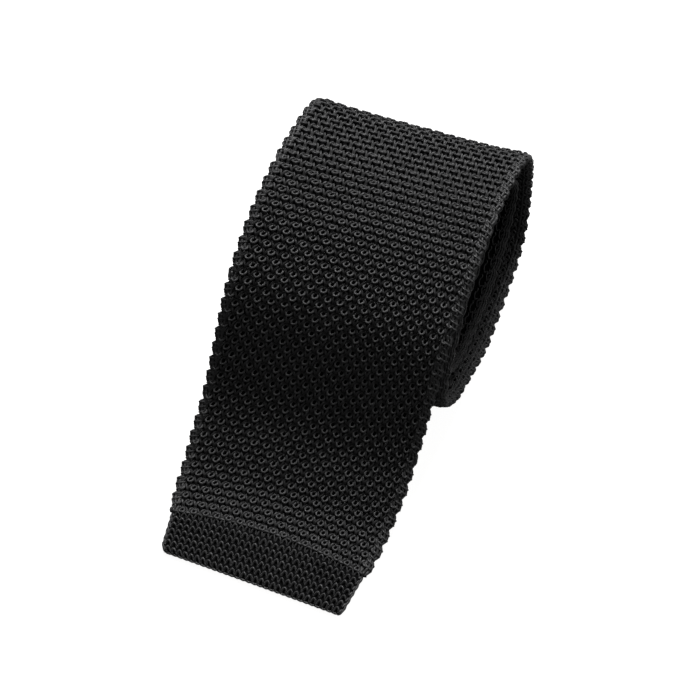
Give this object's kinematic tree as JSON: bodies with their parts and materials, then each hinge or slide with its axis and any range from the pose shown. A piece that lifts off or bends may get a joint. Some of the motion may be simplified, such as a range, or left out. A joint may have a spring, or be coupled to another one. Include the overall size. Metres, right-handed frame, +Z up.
{
  "type": "knitted necktie",
  "caption": "Black knitted necktie with a square end, rolled into an oval coil with the front of its blade lying out over the surface.",
  "frame": {"origin": "on the surface the tie rests on, under the middle of its box", "axes": "X across the tie, -Y towards the square end of the blade, +Z up"},
  "size_m": [0.065, 0.1344, 0.0559],
  "materials": {
    "lattice_knit": "black silk yarn in an open two-row lattice knit",
    "plain_knit": "black silk yarn in a close plain knit",
    "thread": "black sewing thread",
    "tape": "woven black stay tape",
    "label": "blank woven satin label"
  },
  "bodies": {
    "roll": {"blade_roll_shell": "lattice_knit", "blade_roll_seam": "thread", "keeper_loop": "plain_knit", "keeper_stitches": "thread", "back_label": "label", "label_stitches": "thread", "blade_neck_join": "thread", "neck_shell": "plain_knit", "neck_seam": "thread", "neck_stay_tape": "tape", "neck_tail_join": "thread", "tail_shell": "lattice_knit", "tail_seam": "thread", "tail_hem_band": "plain_knit", "tail_hem_stitches": "thread"},
    "front": {"blade_front_shell": "lattice_knit", "blade_front_seam": "thread"},
    "end": {"blade_hem_band": "plain_knit", "blade_hem_stitches": "thread", "blade_bar_tack": "thread", "blade_end_shell": "lattice_knit", "blade_end_seam": "thread"}
  },
  "joints": [
    {"name": "peel", "type": "hinge", "parent": "roll", "child": "front", "pos_m": [0, 0.01821, 0.05255], "axis": [-1, 0, 0], "range_deg": [0, 70]},
    {"name": "lift", "type": "hinge", "parent": "front", "child": "end", "pos_m": [0, -0.033, 0.0094], "axis": [-1, 0, 0], "range_deg": [0, 80]}
  ]
}
